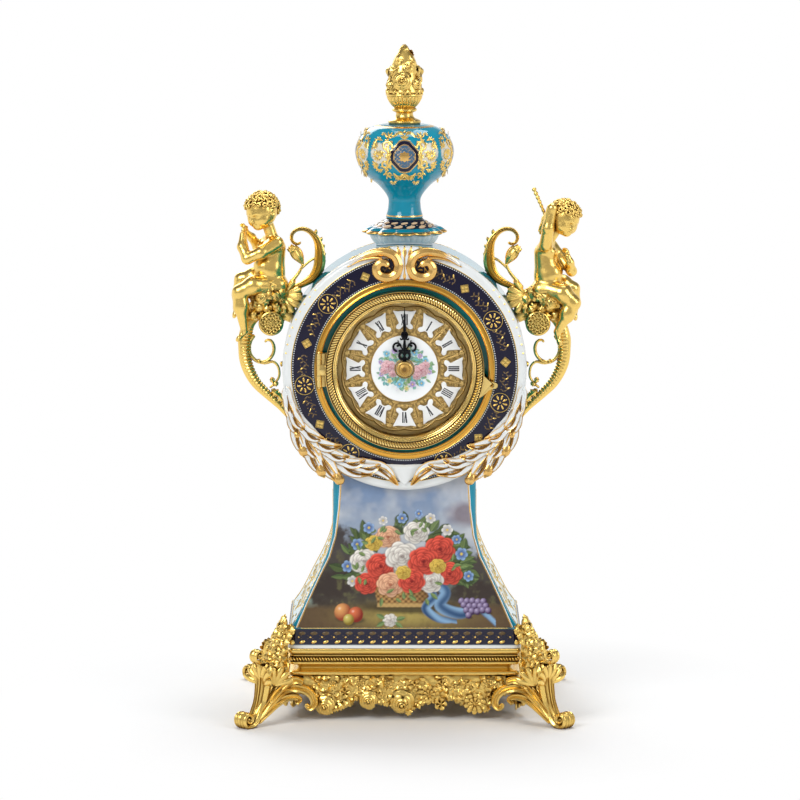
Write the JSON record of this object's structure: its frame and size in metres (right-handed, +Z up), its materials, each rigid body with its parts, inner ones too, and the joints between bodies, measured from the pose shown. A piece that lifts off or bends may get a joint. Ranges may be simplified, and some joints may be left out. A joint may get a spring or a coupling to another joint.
{
  "type": "figural mantel clock",
  "caption": "Figural mantel clock: flared porcelain pedestal on scroll feet, round hinged dial, vase finial and gilt putti on side scrolls.",
  "frame": {"origin": "on the floor under the middle of the clock", "axes": "+Z up, -Y towards the viewer of the dial, +X to the viewer's right"},
  "size_m": [0.2985, 0.229, 0.5655],
  "materials": {
    "gilt_brass": "cast, burnished gilt, darker in the hollows",
    "polished_brass": "polished gilt",
    "brass_pin": "turned",
    "zinc_steel": "zinc plated",
    "pedestal_porcelain": "glazed, painted panel and gold lines",
    "drum_porcelain": "glazed white and cobalt with gold ornament",
    "gilded_porcelain": "glazed white with burnished gold edges",
    "collar_porcelain": "glazed turquoise and white, gold edge",
    "turquoise_porcelain": "glazed turquoise with gold scrolls",
    "felt": "felt washer",
    "clock_glass": "clear",
    "dial_brass": "antique, embossed",
    "white_enamel": "white enamel with black numerals",
    "painted_enamel": "white enamel with painted flowers",
    "black_steel": "blackened",
    "black_plastic": "moulded",
    "white_plastic": "moulded",
    "board_green": "lacquered board",
    "copper_coil": "enamelled wire winding",
    "battery_jacket": "plain printed jacket"
  },
  "bodies": {
    "case": {"base_frame": "gilt_brass", "base_plate": "zinc_steel", "apron_front": "gilt_brass", "apron_rear": "gilt_brass", "apron_left": "gilt_brass", "apron_right": "gilt_brass", "foot_front_left": "gilt_brass", "foot_front_right": "gilt_brass", "foot_rear_left": "gilt_brass", "foot_rear_right": "gilt_brass", "foot_screws": "zinc_steel", "pedestal": "pedestal_porcelain", "drum_case": "drum_porcelain", "crest_scroll": "gilded_porcelain", "leaf_spray_left": "gilded_porcelain", "leaf_spray_right": "gilded_porcelain", "tie_rod": "zinc_steel", "tie_rod_nuts": "zinc_steel", "tie_rod_washers": "zinc_steel", "collar": "collar_porcelain", "vase": "turquoise_porcelain", "finial_cup": "gilt_brass", "finial_bouquet": "gilt_brass", "finial_rod": "zinc_steel", "finial_nut": "zinc_steel", "gaskets": "felt", "bracket_left": "gilt_brass", "bracket_right": "gilt_brass", "putto_left": "gilt_brass", "putto_right": "gilt_brass", "bracket_screws": "zinc_steel", "case_ring": "polished_brass", "clamp_ring": "polished_brass", "hinge_leaf": "polished_brass", "hinge_pin": "brass_pin", "dial_plate": "dial_brass", "numeral_plaques": "white_enamel", "dial_medallion": "painted_enamel", "dial_nut": "polished_brass", "movement_housing": "black_plastic", "back_cover": "black_plastic", "battery_contacts": "zinc_steel", "circuit_board": "board_green", "coil": "copper_coil", "rear_ring": "polished_brass", "rear_hinge_pin": "brass_pin"},
    "bezel": {"bezel": "polished_brass", "glass": "clock_glass", "glass_ring": "polished_brass", "thumb_catch": "polished_brass"},
    "rear_door": {"rear_door": "polished_brass", "door_knob": "polished_brass"},
    "minute_train": {"minute_arbor": "brass_pin", "minute_hand": "black_steel", "hand_nut": "polished_brass"},
    "hour_train": {"hour_wheel": "white_plastic", "hour_hand": "black_steel"},
    "motion_wheel": {"motion_wheel": "white_plastic"},
    "setting_knob": {"setting_knob": "black_plastic"},
    "battery": {"battery": "battery_jacket"}
  },
  "joints": [
    {"name": "bezel_hinge", "type": "hinge", "parent": "case", "child": "bezel", "pos_m": [-0.0715, -0.057, 0.2953], "axis": [0, 0, -1], "range_deg": [0, 105]},
    {"name": "rear_door_hinge", "type": "hinge", "parent": "case", "child": "rear_door", "pos_m": [-0.0625, 0.0555, 0.2953], "axis": [0, 0, 1], "range_deg": [0, 110]},
    {"name": "minute_turn", "type": "hinge", "parent": "case", "child": "minute_train", "pos_m": [0, -0.045, 0.2953], "axis": [0, 1, 0], "continuous": true},
    {"name": "hour_turn", "type": "hinge", "parent": "case", "child": "hour_train", "pos_m": [0, -0.045, 0.2953], "axis": [0, 1, 0], "continuous": true},
    {"name": "motion_turn", "type": "hinge", "parent": "case", "child": "motion_wheel", "pos_m": [0, -0.038, 0.3049], "axis": [0, 1, 0], "continuous": true},
    {"name": "knob_turn", "type": "hinge", "parent": "case", "child": "setting_knob", "pos_m": [0.00902, 0, 0.30818], "axis": [0, 1, 0], "continuous": true},
    {"name": "battery_slide", "type": "slide", "parent": "case", "child": "battery", "axis": [0, 1, 0], "range_m": [0, 0.022]}
  ],
  "couplings": [
    {"joint": "hour_turn", "follows": "minute_turn", "ratio": 0.083333},
    {"joint": "motion_turn", "follows": "minute_turn", "ratio": -0.33333},
    {"joint": "knob_turn", "follows": "minute_turn", "ratio": 1}
  ]
}
